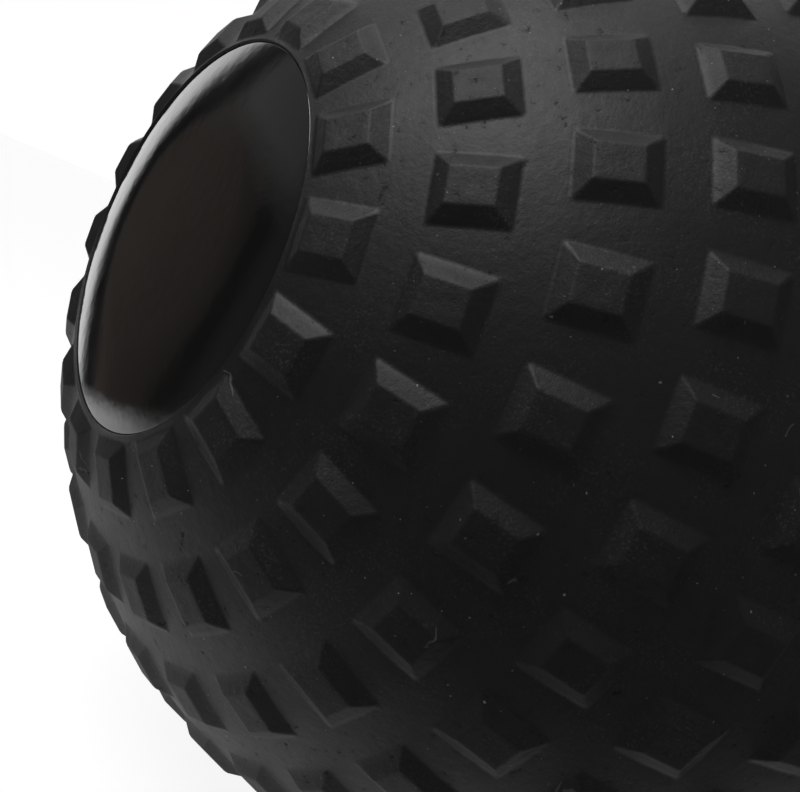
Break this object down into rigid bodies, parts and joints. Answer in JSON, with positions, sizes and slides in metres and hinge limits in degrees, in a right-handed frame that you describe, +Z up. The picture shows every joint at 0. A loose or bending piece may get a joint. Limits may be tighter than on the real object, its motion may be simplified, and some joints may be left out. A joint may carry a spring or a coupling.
{
  "type": "slam ball",
  "caption": "Sand-filled slam ball: a thick rubber shell with raised tread blocks in rings, and a smooth glossy round panel at each pole.",
  "frame": {"origin": "centre of the ball", "axes": "-Y through the middle of the front panel, +Y through the middle of the rear panel with the valve, +Z up"},
  "size_m": [0.2295, 0.2134, 0.2296],
  "materials": {
    "tread_rubber": "matte moulded",
    "panel_rubber": "gloss moulded",
    "liner_rubber": "satin",
    "dry_sand": "loose grains",
    "valve_rubber": "satin moulded"
  },
  "bodies": {
    "root": {"front_shell": "tread_rubber", "rear_shell": "tread_rubber", "front_panel": "panel_rubber", "rear_panel": "panel_rubber", "inner_bladder": "liner_rubber", "sand_fill": "dry_sand", "valve_body": "valve_rubber", "valve_plug": "valve_rubber"}
  },
  "joints": []
}
